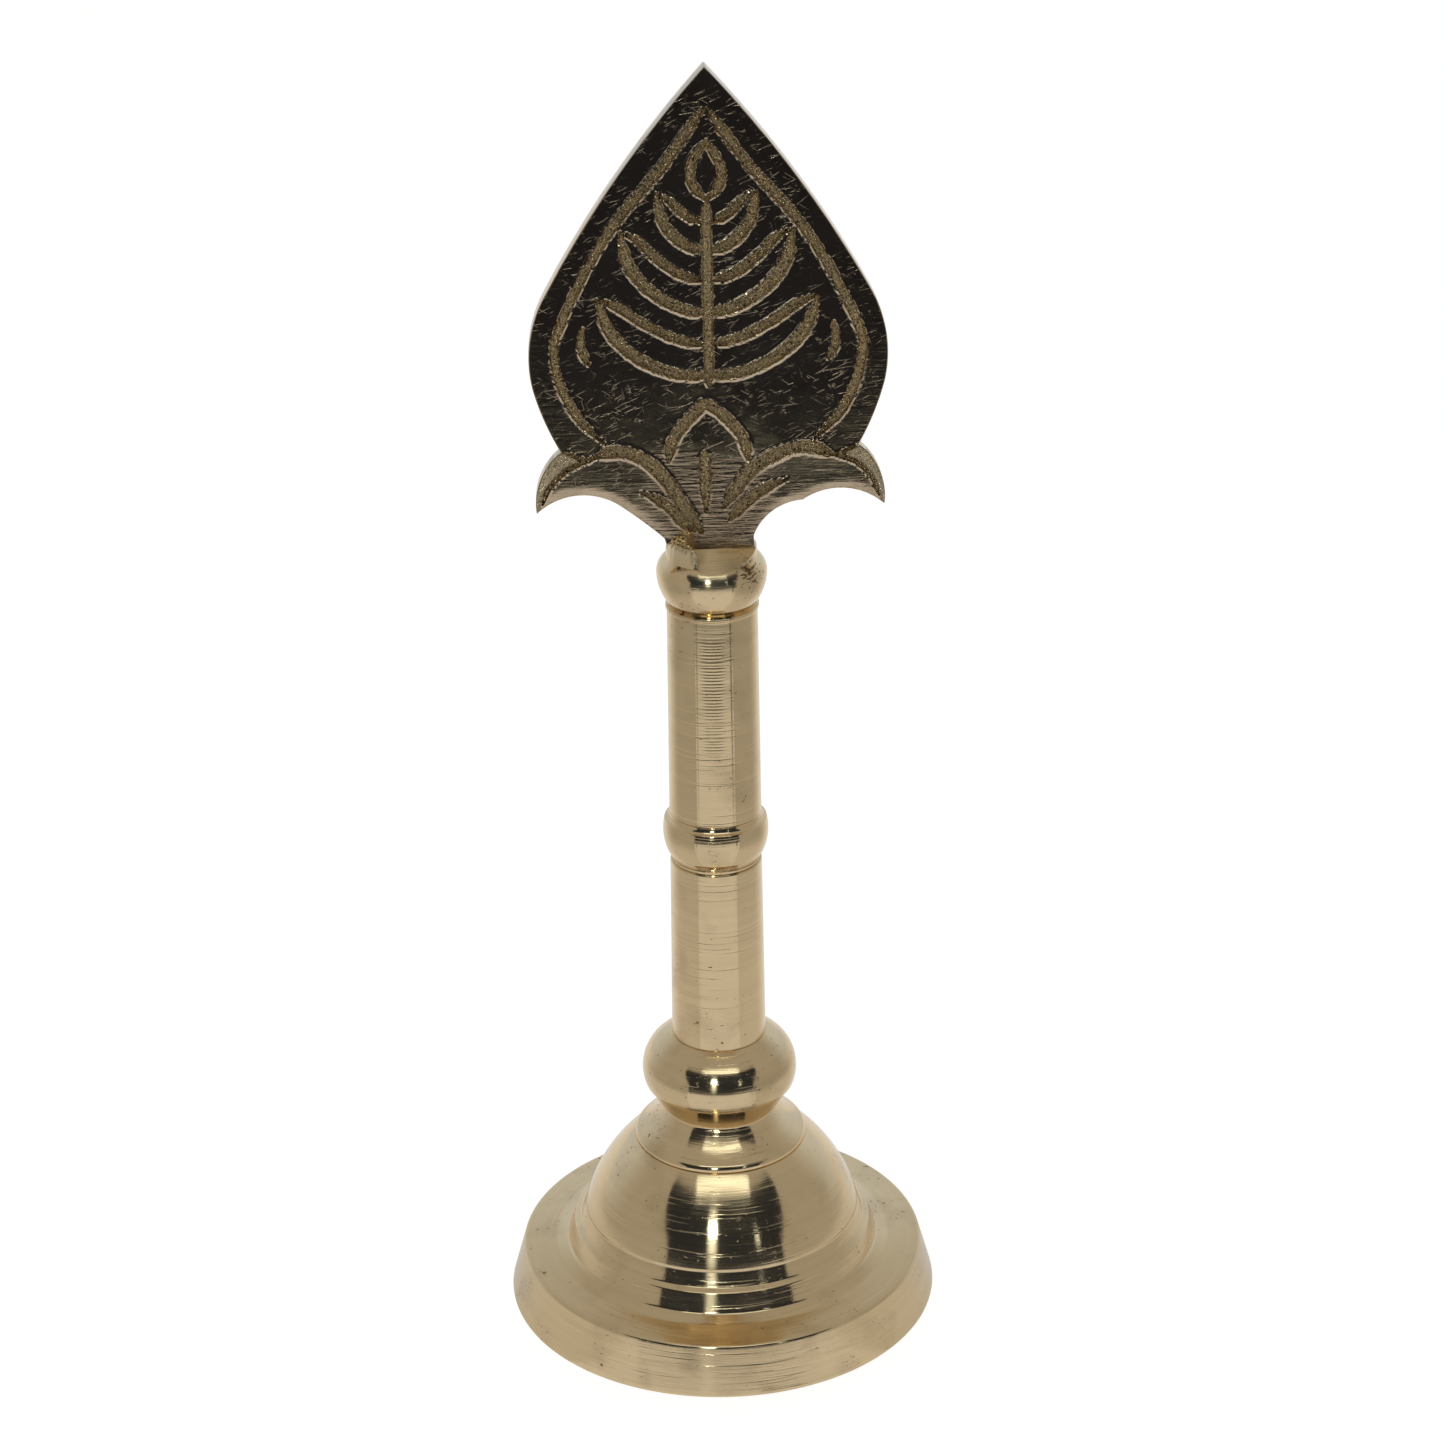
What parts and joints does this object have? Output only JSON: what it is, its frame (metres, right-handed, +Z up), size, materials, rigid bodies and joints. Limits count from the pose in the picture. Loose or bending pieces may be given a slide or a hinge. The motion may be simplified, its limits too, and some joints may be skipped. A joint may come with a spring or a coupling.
{
  "type": "standing ornament",
  "caption": "Turned brass column on a domed foot, carrying an engraved leaf-shaped blade with two petals. Stands on a shelf or altar.",
  "frame": {"origin": "centre of the foot's resting face", "axes": "+Z up along the column; the blade's engraved face looks towards -Y; +X to the right of someone facing that side"},
  "size_m": [0.064, 0.064, 0.1871],
  "materials": {
    "turned_brass": "lathe-turned and polished, fine turning lines",
    "engraved_brass": "filed and polished plate, darkened with age, engraved",
    "plated_steel": "zinc plated"
  },
  "bodies": {
    "root": {"foot": "turned_brass", "neck_collar": "turned_brass", "lower_knop": "turned_brass", "lower_column": "turned_brass", "middle_ring": "turned_brass", "upper_column": "turned_brass", "top_knop": "turned_brass", "blade": "engraved_brass", "tie_rod": "plated_steel", "base_washer": "plated_steel", "spring_washer": "plated_steel", "base_nut": "plated_steel"}
  },
  "joints": []
}
